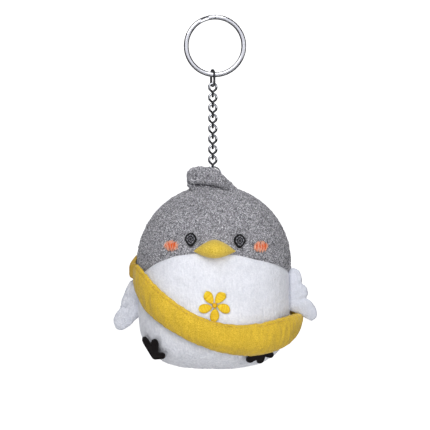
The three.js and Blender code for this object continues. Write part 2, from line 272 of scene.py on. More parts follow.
# %% Cloth finishes
def cloth_finish(name, dark, light, sheen, patch=90.0, grain=1400.0, tone=True, loops=0.0):
    """dark to light follows the pile's height where tone is set, with painted shade at the roots, or a
    noise; loops sets painted shade in the gaps.
    """
    material, tree, shader = new_finish(name)
    coarse = add_noise(tree, patch, 3.0)
    fine = add_noise(tree, grain, 2.0)
    if tone:
        source = tree.nodes.new("ShaderNodeAttribute")
        source.attribute_name = "tone"
        base = ramp(tree, source.outputs["Fac"], [(0.0, dark), (1.0, light)])
    else:
        base = ramp(tree, fine, [(0.3, dark), (0.7, light)])
    drift = ramp(tree, coarse, [(0.3, (0.88, 0.88, 0.88, 1)), (0.7, (1, 1, 1, 1))])
    colour = mix(tree, 1.0, base, drift, "MULTIPLY")
    if loops:
        place = tree.nodes.new("ShaderNodeTexCoord")
        cells = tree.nodes.new("ShaderNodeTexVoronoi")
        cells.feature = "DISTANCE_TO_EDGE"
        cells.inputs["Scale"].default_value = loops
        tree.links.new(place.outputs["Object"], cells.inputs["Vector"])
        # painted shade: the colour falls to near black in the gaps between loops
        painted_gap_shade = ramp(tree, cells.outputs["Distance"], [(0.0, (0.1, 0.1, 0.11, 1)), (0.14, (1, 1, 1, 1))])
        colour = mix(tree, 1.0, colour, painted_gap_shade, "MULTIPLY")
    tree.links.new(colour, shader.inputs["Base Color"])
    shader.inputs["Roughness"].default_value = 0.92
    shader.inputs["Specular IOR Level"].default_value = 0.2
    shader.inputs["Sheen Weight"].default_value = sheen
    shader.inputs["Sheen Roughness"].default_value = 0.5
    bump(tree, shader, fine, 0.00015, 0.5)
    return material


GREY_BOUCLE = cloth_finish("grey_boucle", linear(100, 100, 105), linear(237, 236, 242), 0.12,
                           loops=1300.0)
WHITE_PLUSH = cloth_finish("white_plush", linear(202, 205, 215), linear(243, 244, 250), 0.25)
SASH_VELOUR = cloth_finish("sash_velour", linear(192, 154, 30), linear(234, 199, 68), 0.18,
                           patch=110.0, grain=2200.0, tone=False)
STRAP_VELOUR = cloth_finish("strap_velour", linear(184, 146, 36), linear(206, 168, 56), 0.15,
                            patch=160.0, grain=2600.0, tone=False)
BEAK_VELOUR = cloth_finish("beak_velour", linear(198, 162, 38), linear(240, 212, 90), 0.25,
                           patch=200.0, grain=1800.0, tone=False)
BLACK_FELT = cloth_finish("black_felt", linear(10, 5, 7), linear(26, 18, 20), 0.0,
                          grain=2200.0, tone=False)
LOOP_TAPE = cloth_finish("loop_tape", linear(96, 96, 102), linear(150, 150, 156), 0.1,
                         grain=1800.0, tone=False)
FIBRE_FILLING = cloth_finish("fibre_filling", linear(225, 224, 220), linear(250, 250, 247), 0.3,
                             grain=500.0, tone=False)


def thread_finish(name, dark, light):
    """Embroidery thread is glossier along its twist, and each stitch catches light by itself."""
    material, tree, shader = new_finish(name)
    source = tree.nodes.new("ShaderNodeAttribute")
    source.attribute_name = "tone"
    strands = add_noise(tree, 3200.0, 2.0)
    base = ramp(tree, source.outputs["Fac"], [(0.0, dark), (1.0, light)])
    shade = ramp(tree, strands, [(0.35, (0.8, 0.8, 0.8, 1)), (0.65, (1, 1, 1, 1))])
    tree.links.new(mix(tree, 1.0, base, shade, "MULTIPLY"), shader.inputs["Base Color"])
    shader.inputs["Roughness"].default_value = 0.6
    shader.inputs["Specular IOR Level"].default_value = 0.3
    bump(tree, shader, strands, 0.0001, 0.4)
    return material


EYE_THREAD = thread_finish("eye_thread", linear(5, 5, 8), linear(178, 178, 188))
CHEEK_THREAD = thread_finish("cheek_thread", linear(222, 92, 26), linear(244, 190, 164))
MOTIF_THREAD = thread_finish("motif_thread", linear(236, 184, 12), linear(255, 226, 60))
SEAM_THREAD = thread_finish("seam_thread", linear(196, 160, 60), linear(232, 202, 110))
FOOT_THREAD = thread_finish("foot_thread", linear(6, 5, 6), linear(34, 30, 32))


# %% Metal finishes
def metal_finish(name, colour, smooth, worn, dark):
    """Plate, mirror-smooth in places and rubbed in others; painted shade darkens it where the attribute
    "edge" is 1.
    """
    material, tree, shader = new_finish(name)
    wear = add_noise(tree, 420.0, 5.0)
    scratches = add_noise(tree, 5200.0, 2.0)
    shader.inputs["Metallic"].default_value = 1.0
    tint = ramp(tree, wear, [(0.3, tuple(c * 0.86 for c in colour[:3]) + (1.0,)), (0.7, colour)])
    # painted shade: the colour is multiplied down to dark where the attribute "edge" is 1
    source = tree.nodes.new("ShaderNodeAttribute")
    source.attribute_name = "edge"
    painted_edge_shade = ramp(tree, source.outputs["Fac"], [(0.0, (1, 1, 1, 1)), (1.0, (dark, dark, dark, 1))])
    tint = mix(tree, 1.0, tint, painted_edge_shade, "MULTIPLY")
    tree.links.new(tint, shader.inputs["Base Color"])
    levels = ramp(tree, wear, [(0.3, (worn,) * 3 + (1.0,)), (0.7, (smooth,) * 3 + (1.0,))])
    tree.links.new(levels, shader.inputs["Roughness"])
    bump(tree, shader, scratches, 0.00002, 0.12)
    return material


# the last number is how dark the painted edge shade makes the plate
RING_STEEL = metal_finish("ring_steel", linear(216, 217, 221), 0.08, 0.18, 0.03)
CHAIN_STEEL = metal_finish("chain_steel", linear(184, 186, 191), 0.10, 0.2, 0.08)
print("finishes:", len(bpy.data.materials))

# %% [markdown]
# ## The split ring
# A split ring is one length of flat spring wire wound twice round. Its front end stops at the top,
# and just before it the strip steps from the front layer to the back one. A swept section with
# a crowned face keeps that step and both cut ends, which a plain torus would lose.

# %% Split ring
ring_low, ring_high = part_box("split_ring")
RING_OUTER = (ring_high.x - ring_low.x) / 2 / MM
RING_DEPTH = (ring_high.y - ring_low.y) / MM
BAND = 2.35
COIL = 1.0
COIL_OFFSET = (RING_DEPTH - COIL) / 2
RING_MIDDLE_Z = (ring_low.z + ring_high.z) / 2 / MM
CROSS_START, CROSS_END, RING_END = 325.0, 352.0, 675.0


def crowned_strip(width, height, power, count):
    """A flattened oval, as flat wire has after rolling; a higher power makes it squarer."""
    outline = []
    for turn in np.arange(count) * 2 * math.pi / count:
        c, s = math.cos(turn), math.sin(turn)
        outline.append((width / 2 * math.copysign(abs(c) ** (2 / power), c),
                        height / 2 * math.copysign(abs(s) ** (2 / power), s)))
    return outline


def rounded_strip(width, height, round_by):
    """A strip's section with a quarter circle at each corner, in four steps."""
    corners = [(width / 2 - round_by, height / 2 - round_by, 0),
               (-width / 2 + round_by, height / 2 - round_by, 90),
               (-width / 2 + round_by, -height / 2 + round_by, 180),
               (width / 2 - round_by, -height / 2 + round_by, 270)]
    outline = []
    for x, y, start in corners:
        for turn in (0, 22.5, 45, 67.5, 90):
            angle = math.radians(start + turn)
            outline.append((x + round_by * math.cos(angle), y + round_by * math.sin(angle)))
    return outline


def step(value, start, end):
    t = min(max((value - start) / (end - start), 0.0), 1.0)
    return t * t * (3 - 2 * t)


strip = crowned_strip(BAND, COIL, 2.5, 32)
rows = []
RING_STEPS = 480
for i in range(RING_STEPS + 1):
    turn = RING_END * i / RING_STEPS
    layer = COIL_OFFSET * (2 * step(turn, CROSS_START, CROSS_END) - 1)
    angle = math.radians(turn)
    ease = min(i, RING_STEPS - i, 2)
    scale = (0.86, 0.96, 1.0)[ease]
    middle = RING_OUTER - BAND / 2
    rows.append([((middle + a * scale) * math.sin(angle), layer + b * scale,
                  RING_MIDDLE_Z + (middle + a * scale) * math.cos(angle)) for a, b in strip])
points, faces = loft(rows, caps=True)
split_ring = new_object("split_ring_wire", points * MM, faces)
outward(split_ring)
# painted shade: the plate is darkened beside both edges of the band, standing in for the dark
# reflections there, and left bright between
reach = [abs(a) / (BAND / 2) for a, b in strip]
painted_rim_shade = [step(r, 0.42, 0.64) * (1 - step(r, 0.88, 0.97)) for r in reach]
set_tone(split_ring, painted_rim_shade * len(rows) + [0.0, 0.0], "edge")
install(split_ring, "split_ring", RING_STEEL, ["split_ring"])
print("split ring faces:", len(split_ring.data.polygons))

# %% [markdown]
# ## The chain
# A curb link starts as an oval of round wire and is twisted a quarter turn, so that its top faces
# the front and its bottom stands edge-on inside the next link. The wire's two cut ends meet on one
# side, and that butt joint shows as a fine line, so it is modelled as a shallow groove.

# %% One twisted wire link
WIRE = 0.575


def link_path(half_wide, half_long, top_turn, bottom_turn, steps):
    straight = half_long - half_wide
    perimeter = 4 * straight + 2 * math.pi * half_wide
    path, out = [], []
    for i in range(steps):
        s = perimeter * i / steps
        side = 1 if s < perimeter / 2 else -1
        d = s if side == 1 else s - perimeter / 2
        angle = max(d - 2 * straight, 0) / half_wide
        u = half_wide * math.cos(angle) * side
        w = (min(d, 2 * straight) - straight + half_wide * math.sin(angle)) * side
        nu, nw = side * math.cos(angle), side * math.sin(angle)
        mid = (top_turn + bottom_turn) / 2
        turn = math.radians(mid + (bottom_turn - top_turn) * (step(-w, -straight, straight) - 0.5))
        path.append((u * math.cos(turn), -u * math.sin(turn), w))
        out.append((nu * math.cos(turn), -nu * math.sin(turn), nw))
    return np.array(path), np.array(out)


def painted_wire_edge_shade(steps, sides):
    """1 along the inner and outer side of a bent wire, where painted shade darkens the plate."""
    turn = np.arange(sides) * 2 * np.pi / sides
    return np.tile([step(abs(math.cos(t)), 0.5, 0.85) for t in turn], steps)


LINK_STEPS, LINK_SIDES = 112, 18


def wire_link(name, node, half_wide, half_long, top_turn, bottom_turn):
    low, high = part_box(node)
    middle = (low + high) / 2 / MM
    path, out = link_path(half_wide, half_long, top_turn, bottom_turn, LINK_STEPS)
    radius = np.full(LINK_STEPS, WIRE)
    radius[3] = WIRE * 0.82
    points, faces = sweep(path + np.array(middle), LINK_SIDES, radius, True, out)
    obj = new_object(name, points * MM, faces)
    outward(obj)
    # painted shade on the wire's inner and outer sides
    set_tone(obj, painted_wire_edge_shade(LINK_STEPS, LINK_SIDES), "edge")
    install(obj, node, CHAIN_STEEL, [node])


wire_link("top_link_wire", "top_link", 2.26, 3.84, 70, 70)
for number in range(1, 9):
    wire_link(f"chain_link_{number}_wire", f"chain_link_{number}", 1.73, 3.125, 0, 90)

# %% Jump ring
jump_low, jump_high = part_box("jump_ring")
JUMP_WIRE = (jump_high.y - jump_low.y) / 2 / MM
jump_radius = (jump_high.x - jump_low.x) / 2 / MM - JUMP_WIRE
jump_middle = np.array((jump_low + jump_high) / 2) / MM
JUMP_STEPS, JUMP_SIDES = 120, 14
turns = np.arange(JUMP_STEPS) * 2 * np.pi / JUMP_STEPS
out = np.stack([np.cos(turns), np.zeros(JUMP_STEPS), np.sin(turns)], 1)
radius = np.full(JUMP_STEPS, JUMP_WIRE)
radius[12] = JUMP_WIRE * 0.8
points, faces = sweep(jump_middle + out * jump_radius, JUMP_SIDES, radius, True, out)
jump_ring = new_object("jump_ring_wire", points * MM, faces)
outward(jump_ring)
# painted shade on the wire's inner and outer sides
set_tone(jump_ring, painted_wire_edge_shade(JUMP_STEPS, JUMP_SIDES), "edge")
install(jump_ring, "jump_ring", CHAIN_STEEL, ["jump_ring"])
print("jump ring", round(2 * (jump_radius + JUMP_WIRE), 2), "mm across")

# %% [markdown]
# ## The body's outline
# The stuffed body is round above its widest level and fuller below it, like a bell with a soft
# flat base, and a little shallower than it is wide. One formula gives that surface, so every sewn
# piece can be laid on it: the panels, the face, the feet and the sash all ask it for points.

# %% Body outline
def union_box(names):
    lows, highs = zip(*[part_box(n) for n in names])
    return np.min(lows, 0) / MM, np.max(highs, 0) / MM


PANEL_NODES = ["head_front_panel", "head_back_panel", "belly_front_panel", "belly_back_panel",
               "base_panel"]
body_low, body_high = union_box(PANEL_NODES)
BODY_X = (body_low[0] + body_high[0]) / 2
RADIUS = (body_high[0] - body_low[0]) / 2
DEPTH = (body_high[1] - body_low[1]) / 2
EQUATOR_Z = body_high[2] - RADIUS
BODY_CORE = np.array([BODY_X, 0, EQUATOR_Z - 8])
LOWER = EQUATOR_Z - body_low[2]
SIDE_POWER, DROP_POWER = 2.8, 5.6
SEAM_FRONT_Z, SEAM_SLOPE = -111.9, 0.32
BASE_SEAM_Z = -163.0


def half_width(z, lift=0.0):
    z = np.asarray(z, float)
    r = RADIUS + lift
    upper = np.sqrt(np.clip(r ** 2 - (z - EQUATOR_Z) ** 2, 0, None))
    drop = np.clip((EQUATOR_Z - z) / (LOWER + lift), 0, 1)
    lower = r * (1 - drop ** DROP_POWER) ** (1 / SIDE_POWER)
    return np.where(z >= EQUATOR_Z, upper, lower)


def around(angle, z, lift=0.0):
    """Points at an angle round the body: 0 its right side, 90 the front, 180 its left side."""
    r = half_width(z, lift)
    flat = (DEPTH + lift) / (RADIUS + lift)
    a = np.radians(angle)
    return np.stack([BODY_X - r * np.cos(a), -r * flat * np.sin(a), np.asarray(z) + 0 * r], -1)


def on_front(x, z, lift=0.0):
    """Points on the front of the body behind an x and a z."""
    x = np.asarray(x, float)
    r = half_width(z, lift)
    flat = (DEPTH + lift) / (RADIUS + lift)
    y = -flat * np.sqrt(np.clip(r ** 2 - (x - BODY_X) ** 2, 0, None))
    return np.stack([x + 0 * y, y, np.asarray(z) + 0 * y], -1)


print("body", round(2 * RADIUS, 1), "wide", round(2 * DEPTH, 1), "deep, equator at",
      round(EQUATOR_Z, 1))

# %% [markdown]
# ## Letting the cloth swell
# Stuffing pushes the cloth out everywhere except where thread holds it. A cloth simulation with
# air pressure does that: the seams are pinned, gravity is off, twenty frames are stepped, and the
# move of each point is capped so that the piece keeps its size. Every stuffed piece waits in one
# list and they are all simulated together. Blender's cloth behaves best on things the size of
# furniture, so the copies it runs on are ten times too large.

# %% Cloth simulation for all stuffed pieces
SIM_SCALE = 10.0
SIM_FRAMES = 20
waiting = []


def swell(obj, free, pressure, cap):
    """free is 0 where thread holds the cloth and 1 in the middle of a panel; cap is in mm."""
    waiting.append((obj, np.asarray(free, float), pressure, cap))


def run_swelling():
    scene = bpy.context.scene
    copies = []
    for obj, free, pressure, cap in waiting:
        copy = obj.copy()
        copy.data = obj.data.copy()
        set_coordinates(copy, coordinates(obj) * SIM_SCALE)
        scene.collection.objects.link(copy)
        held = copy.vertex_groups.new(name="held")
        for i, value in enumerate(free):
            held.add([i], float(1 - value), "REPLACE")
        cloth = copy.modifiers.new("swell", "CLOTH")
        cloth.settings.quality = 6
        cloth.settings.mass = 0.2
        cloth.settings.tension_stiffness = 12
        cloth.settings.compression_stiffness = 12
        cloth.settings.shear_stiffness = 6
        cloth.settings.bending_stiffness = 0.4
        cloth.settings.use_pressure = True
        cloth.settings.uniform_pressure_force = pressure
        cloth.settings.vertex_group_mass = "held"
        cloth.settings.effector_weights.gravity = 0.0
        cloth.point_cache.frame_end = SIM_FRAMES
        copies.append(copy)
    for number in range(1, SIM_FRAMES + 1):
        scene.frame_set(number)
    graph = bpy.context.evaluated_depsgraph_get()
    for (obj, free, pressure, cap), copy in zip(waiting, copies):
        moved = copy.evaluated_get(graph).to_mesh()
        flat = np.empty(len(moved.vertices) * 3)
        moved.vertices.foreach_get("co", flat)
        start = coordinates(obj)
        shift = flat.reshape(-1, 3) / SIM_SCALE - start
        length = np.linalg.norm(shift, axis=1)
        scale = np.minimum(1, cap * MM / np.maximum(length, 1e-9))
        set_coordinates(obj, start + shift * scale[:, None])
        print(obj.name, "swells by up to", round(float((length * scale).max() / MM), 2), "mm")
        bpy.data.objects.remove(copy)
    scene.frame_set(1)


# %% [markdown]
# ## The body cloth before it is cut
# A cube that is divided and blown up to the body's surface has even squares and no pole, so the
# pile will look the same all over. It starts slightly small, because the simulation fills it.

# %% Body cloth
SHRINK = 0.6
DIVISIONS = 52


def cube_sphere(divisions):
    points, faces = [], []
    grid = np.tan(np.linspace(-1, 1, divisions + 1) * math.pi / 4)
    for axis in range(3):
        for sign in (-1, 1):
            start = len(points)
            for a in grid:
                for b in grid:
                    p = [0.0, 0.0, 0.0]
                    p[axis], p[(axis + 1) % 3], p[(axis + 2) % 3] = sign, a, b
                    points.append(p)
            for i in range(divisions):
                for j in range(divisions):
                    c = start + i * (divisions + 1) + j
                    quad = (c, c + divisions + 1, c + divisions + 2, c + 1)
                    faces.append(quad if sign > 0 else quad[::-1])
    points = np.array(points)
    return points / np.linalg.norm(points, axis=1)[:, None], faces


def on_body(directions, lift):
    """Blows unit directions up to the body's surface."""
    d = np.array(directions)
    across = np.hypot(d[:, 0], d[:, 1])
    down = np.clip(-d[:, 2], 0, None)
    low, high = np.full(len(d), 0.5), np.full(len(d), 1.5)
    for _ in range(30):
        t = (low + high) / 2
        outside = (t * across) ** SIDE_POWER + (t * down) ** DROP_POWER > 1
        high = np.where(outside, t, high)
        low = np.where(outside, low, t)
    t = np.where(d[:, 2] >= 0, 1.0, low)
    r = RADIUS + lift
    tall = np.where(d[:, 2] >= 0, r, LOWER + lift)
    return np.stack([BODY_X + r * d[:, 0] * t, (DEPTH + lift) * d[:, 1] * t,
                     EQUATOR_Z + tall * d[:, 2] * t], 1)


# the waist seam is not quite flat: x, and how far it hangs below its plane in front
SAG_X = (-37, -33, -28, -19, 0, 12, 20, 28, 37)
SAG = (2.6, 2.2, 1.0, -0.4, -0.6, 0.2, 1.1, 1.0, 0.3)


def waist_sag(points):
    return np.interp(points[:, 0], SAG_X, SAG) * np.clip(-points[:, 1] / 9, 0, 1)


def seam_distance(points):
    """How far points (mm) are from the waist seam, the side seams and the base seam."""
    tilt = math.hypot(1, SEAM_SLOPE)
    level = points[:, 2] + waist_sag(points)
    waist = (level - SEAM_FRONT_Z + SEAM_SLOPE * (points[:, 1] + DEPTH)) / tilt
    side = points[:, 1]
    base = points[:, 2] - BASE_SEAM_Z
    return waist, side, base


directions, faces = cube_sphere(DIVISIONS)
body_cloth = new_object("body_cloth", on_body(directions, -SHRINK) * MM, faces)
welded = bmesh.new()
welded.from_mesh(body_cloth.data)
bmesh.ops.remove_doubles(welded, verts=welded.verts, dist=0.01 * MM)
welded.to_mesh(body_cloth.data)
welded.free()
outward(body_cloth)
waist, side, base = seam_distance(coordinates(body_cloth) / MM)
nearest = np.minimum(np.minimum(abs(waist), abs(side)), 2.5 + 2.5 * abs(base))
swell(body_cloth, np.clip(nearest / 6.0, 0.05, 1), 3.0, 0.9)
print("body cloth points:", len(body_cloth.data.vertices))

# %% [markdown]
# ## The small stuffed pieces before they swell
# The crest is a roll of the head cloth laid over to one side in front of the jump ring. The beak
# is a pointed pillow, the sash a long crescent, and the wings are two-layer flaps with three
# lobes. Each is lofted a little thin and waits for the same simulation, pinned where it is sewn.

# %% Crest
CREST_Y = -6.8
CREASE_TURN = 222.0
# along X: middle height, half height, half depth
CREST_STATIONS = [(-13.2, -76.6, 2.0, 1.4), (-12.8, -76.6, 4.0, 2.8), (-11.6, -76.6, 5.2, 3.9),
                  (-8.0, -76.6, 5.5, 4.4), (-4.0, -76.8, 5.7, 4.6), (0.0, -77.3, 5.6, 4.7),
                  (4.0, -79.6, 4.2, 4.5), (8.0, -82.0, 2.9, 3.6), (11.0, -83.6, 1.6, 2.2)]


def stations(table, column, places):
    table = np.array(table)
    return np.interp(places, table[:, 0], table[:, column])


def smooth_rows(values, times=6):
    for _ in range(times):
        values[1:-1] = (values[:-2] + 2 * values[1:-1] + values[2:]) / 4
    return values


along = np.linspace(-13.0, 11.0, 34)
middles = smooth_rows(stations(CREST_STATIONS, 1, along), 3)
highs = smooth_rows(stations(CREST_STATIONS, 2, along), 3)
deeps = smooth_rows(stations(CREST_STATIONS, 3, along), 3)
turns = np.arange(36) * 2 * np.pi / 36
rows = []
for x, z, high, deep in zip(along, middles, highs, deeps):
    crease = np.exp(-((turns - math.radians(CREASE_TURN)) / 0.22) ** 2) * min(1.0, deep / 4)
    collar = np.exp(-((turns - math.radians(248)) / 0.22) ** 2) * min(1.0, deep / 4)
    swirl = 1 - 0.6 * crease + 0.14 * collar
    rows.append(np.stack([np.full(36, x), CREST_Y + deep * swirl * np.cos(turns),
                          z + high * swirl * np.sin(turns)], 1))
points, faces = loft(rows, caps=True)
crest = new_object("crest_roll", points * MM, faces)
outward(crest)
free = np.clip((points[:, 2] + 82.0) / 3.0, 0.1, 1)
swell(crest, free, 3.0, 0.6)

# %% Beak
beak_low, beak_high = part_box("beak")
BEAK_X = (beak_low.x + beak_high.x) / 2 / MM
BEAK_Z = (beak_low.z + beak_high.z) / 2 / MM
BEAK_HALF = 10.2
BEAK_HIGH = 4.25
BEAK_REACH = 7.4


def beak_section(s):
    """One upright slice of the beak; s runs from -1 at one corner to 1 at the other."""
    taper = (1 - abs(s) ** 1.9) ** 1.1
    crest_rise = 0.45 * math.exp(-(s / 0.3) ** 2)
    angle = np.linspace(-90, 90, 19)
    up = np.sin(np.radians(angle))
    out = np.cos(np.radians(angle))
    x = BEAK_X + s * BEAK_HALF
    z = BEAK_Z + BEAK_HIGH * taper * up + crest_rise * np.clip(up, 0, 1) ** 3 - 0.9 * s * s
    root = on_front(np.full(19, x), z, 0.2)[:, 1]
    fuller = np.where(up > 0, out ** 0.8, out ** 0.65)
    dent = 0.5 * taper * np.exp(-((up - 0.05) / 0.12) ** 2) * math.exp(-((abs(s) - 0.35) / 0.3) ** 2)
    y = root + 1.2 - (BEAK_REACH + 1.0) * taper * fuller + dent
    front = np.stack([np.full(19, x), y, z], 1)
    behind = front[-2:0:-3].copy()
    behind[:, 1] = root[-2:0:-3] + 1.2
    return np.vstack([front, behind])


rows = [beak_section(s) for s in np.sin(np.linspace(-1, 1, 41) * math.pi / 2 * 0.985)]
points, faces = loft(rows, caps=True)
beak = new_object("beak_cover", points * MM, faces)
outward(beak)
reach = on_front(points[:, 0], points[:, 2])[:, 1] - points[:, 1]
swell(beak, np.clip(reach / 3.0, 0, 1), 2.0, 0.35)

# %% Sash
# round the body: top edge, bottom edge, thickness, and how far it stands off the body
SASH_STATIONS = [(5, -120.6, -125.0, 0.9, 0.8), (9, -118.0, -128.2, 1.5, 0.6),
                 (14, -116.8, -130.8, 1.8, 0.5), (22, -118.4, -134.6, 2.1, 0.5),
                 (32, -121.8, -139.6, 2.6, 0.5),
                 (54, -131.6, -147.6, 3.4, 0.5), (72, -139.2, -153.8, 3.9, 0.5),
                 (90, -144.2, -158.0, 4.2, 0.5), (108, -145.8, -160.2, 4.5, 0.6),
                 (126, -144.9, -160.6, 4.6, 0.9), (144, -142.5, -158.8, 4.4, 1.4),
                 (158, -141.4, -155.9, 4.0, 1.9), (169, -140.9, -152.6, 3.5, 2.4),
                 (177, -140.8, -149.6, 3.0, 2.8), (183, -141.2, -146.4, 2.0, 3.0)]
SASH_ROWS = 150
ACROSS = 17
angles = np.linspace(SASH_STATIONS[0][0], SASH_STATIONS[-1][0], SASH_ROWS)
tops, bottoms, bulges, offs = (smooth_rows(stations(SASH_STATIONS, column, angles), 12)
                               for column in (1, 2, 3, 4))
smooth_angles = angles
rows, free = [], []
for angle, top, bottom, bulge, off in zip(angles, tops, bottoms, bulges, offs):
    s = 0.5 - 0.5 * np.cos(np.linspace(0, np.pi, ACROSS))
    z = top + (bottom - top) * s
    sharp = step(angle, 140, 172)
    arch = np.sqrt(np.clip(1 - (2 * s ** (1 - 0.52 * sharp) - 1) ** 2, 0, None)) ** 0.85
    seam = np.exp(-((z - top + 1.3) / 0.35) ** 2)
    outer = around(angle, z, off + 0.1 + bulge * arch - 0.3 * seam)
    inner_s = s[-2:0:-2]
    inner = around(angle, top + (bottom - top) * inner_s, off)
    rows.append(np.vstack([outer, inner]))
    free += list(np.clip(arch, 0.0, 1)) + [0.0] * len(inner_s)
points, faces = loft(rows, caps=True)
sash = new_object("sash_cover", points * MM, faces)
outward(sash)
swell(sash, free + [0.0, 0.0], 3.5, 0.7)

# %% Wings
WING_THICK = 4.4
# painted shade: the wings' tone is lowered, the right one more, for the shade they stand in beside the
# body
PAINTED_WING_SHADE = {-1: 0.35, 1: 0.55}
WINGS = {
    "left": (4.5, [(-34.4, -125.0), (-38.0, -124.6), (-41.0, -126.0), (-43.0, -129.6),
                   (-43.9, -132.4), (-44.8, -134.6), (-45.3, -137.2), (-45.9, -139.0),
                   (-47.6, -140.9), (-48.9, -144.4), (-47.6, -148.2), (-44.9, -149.2),
                   (-41.6, -147.6), (-38.6, -144.6), (-35.6, -140.0)]),
    "right": (-5.0, [(33.6, -122.6), (35.2, -119.9), (38.2, -119.2), (40.8, -121.2),
                     (41.6, -124.6), (41.4, -126.4), (43.6, -128.2), (44.6, -131.4),
                     (43.9, -133.4), (46.0, -135.0), (48.4, -139.0), (48.6, -142.4),
                     (46.2, -144.3), (43.2, -143.0), (40.2, -141.0), (36.4, -139.6),
                     (34.2, -136.6), (33.2, -129.6)]),
}
# notch on the edge and where the stitched groove from it ends
LOBE_LINES = {
    "left": [((-45.0, -138.6), (-40.4, -138.0)), ((-43.6, -132.6), (-40.0, -133.6))],
    "right": [((41.4, -126.2), (37.4, -128.4)), ((44.0, -133.4), (38.8, -134.6))],
}


def smooth_loop(corners, count):
    """A closed curve through a few corners."""
    corners = np.array(corners, float)
    n = len(corners)
    t = np.arange(count) * n / count
    i = t.astype(int)
    f = (t - i)[:, None]
    p0, p1, p2, p3 = (corners[(i + k) % n] for k in (-1, 0, 1, 2))
    return 0.5 * (2 * p1 + (p2 - p0) * f + (2 * p0 - 5 * p1 + 4 * p2 - p3) * f ** 2
                  + (3 * p1 - p0 - 3 * p2 + p3) * f ** 3)


def groove_depth(flat, side):
    """1 on the stitched lines between the lobes, falling to 0 about a millimetre away."""
    depth = np.zeros(len(flat))
    for start, end in LOBE_LINES[side]:
        start, end = np.array(start), np.array(end)
        t = np.clip((flat - start) @ (end - start) / ((end - start) @ (end - start)), 0, 1)
        away = np.linalg.norm(flat - start - t[:, None] * (end - start), axis=1)
        depth = np.maximum(depth, np.exp(-(away / 1.0) ** 2) * (0.7 - 0.5 * t))
    return depth


def wing(side):
    """A flap of two layers; the right one's root slopes back into the body."""
    middle_y, corners = WINGS[side]
    edge = smooth_loop(corners, 144)
    middle = edge.mean(0)
    sizes = np.sin(np.linspace(0.05, 1, 18) * math.pi / 2)
    rows, free = [], []
    for face in (-1, 1):
        order = sizes if face < 0 else sizes[-2::-1]
        for size in order:
            flat = middle + (edge - middle) * size
            groove = groove_depth(flat, side)
            thick = WING_THICK / 2 * math.sqrt(max(1 - size ** 3, 0)) * (1 - 0.75 * groove)
            thick = thick + 0.15 * (size < 1)
            x, z = flat[:, 0], flat[:, 1]
            y = np.full(144, middle_y)
            if side == "right":
                y = y + 0.9 * np.clip(36.4 - x, 0, None)
            rows.append(np.stack([x, y + face * thick, z], 1))
            free += list(np.clip(2.2 * (1 - size), 0, 1) * (1 - groove))
    points, faces = loft(rows, caps=True)
    obj = new_object(f"{side}_wing_cover", points * MM, faces)
    outward(obj)
    swell(obj, free + [1.0, 1.0], 2.0, 0.3)
    return obj


left_wing = wing("left")
right_wing = wing("right")

# %% Run the simulation
run_swelling()

# %% [markdown]
# ## Pile
# The grey cloth is boucle: short loops that lie every way, so light and dark change from loop to
# loop. The white cloth is a short cut pile, much finer and flatter. Both are raised in the mesh
# itself: a noise lifts each point along its normal, and the same noise is kept as the point
# attribute "tone", which the finish turns into light tips and dark roots. The dark roots are
# painted shade in the hollows of the pile, mixed with each loop's own random tone.

# %% Pile helpers
def boucle(point):
    """Height and tone of the looped cloth at a point in mm."""
    bent = point + noise.noise_vector(point * 1.1) * 0.45
    distances, centres = noise.voronoi(bent * 1.6)
    loop = min(1.0, (distances[1] - distances[0]) * 2.6)
    shade = noise.cell(centres[0] * 7.3)
    fine = noise.noise(point * 2.9)
    wave = 0.2 * noise.noise(point * 0.4) + 0.38 * noise.noise(point * 0.95)
    # painted shade: the tone rises with each loop's height, so the gaps between loops are darker; the
    # cell term is each loop's own random tone
    return 0.48 * loop ** 0.7 + 0.14 * fine + wave, 0.12 + 0.6 * loop + 0.24 * shade + 0.12 * fine


def cut_pile(point):
    """Height and tone of the short white plush at a point in mm."""
    tuft = noise.noise(point * 1.7)
    clump = noise.noise(point * 0.55)
    fine = noise.noise(point * 3.3)
    streak = noise.noise(Vector((point.x * 1.3, point.y * 1.3, point.z * 0.35)))
    hanging = 0.08 + 0.22 * step(-point.z, 146, 164)
    height = 0.14 * tuft + 0.12 * clump + 0.12 * fine + 0.22 * noise.noise(point * 0.14)
    # partly painted shade: the tone rises with the same noises that lift the pile, so its hollows are
    # darker
    tone = 0.6 + 0.3 * tuft + 0.12 * clump + 0.25 * fine + 2 * hanging * streak
    return height + hanging * streak, tone


def raise_pile(obj, kind, keep=None, shade=0.0):
    """Lifts points along their normals; keep scales the lift at seams, shade is painted shade taken off
    the tone.
    """
    here = coordinates(obj)
    normals = vertex_normals(obj)
    keep = np.ones(len(here)) if keep is None else keep
    values = [kind(Vector(p)) for p in here / MM]
    heights = np.array([v[0] for v in values])
    set_coordinates(obj, here + normals * (heights * keep)[:, None] * MM)
    # painted shade: shade lowers the tone where the piece stands in shadow
    set_tone(obj, np.array([v[1] for v in values]) - shade)


# %% [markdown]
# ## Cutting the body cloth into its panels
# The swollen body is cut along its seams: the slanted waist between grey and white, the side
# seams, and the round seam of the base. Beside each cut the cloth dips and turns in, because the
# seam allowance is pulled inside by the thread. Each panel keeps its own name.

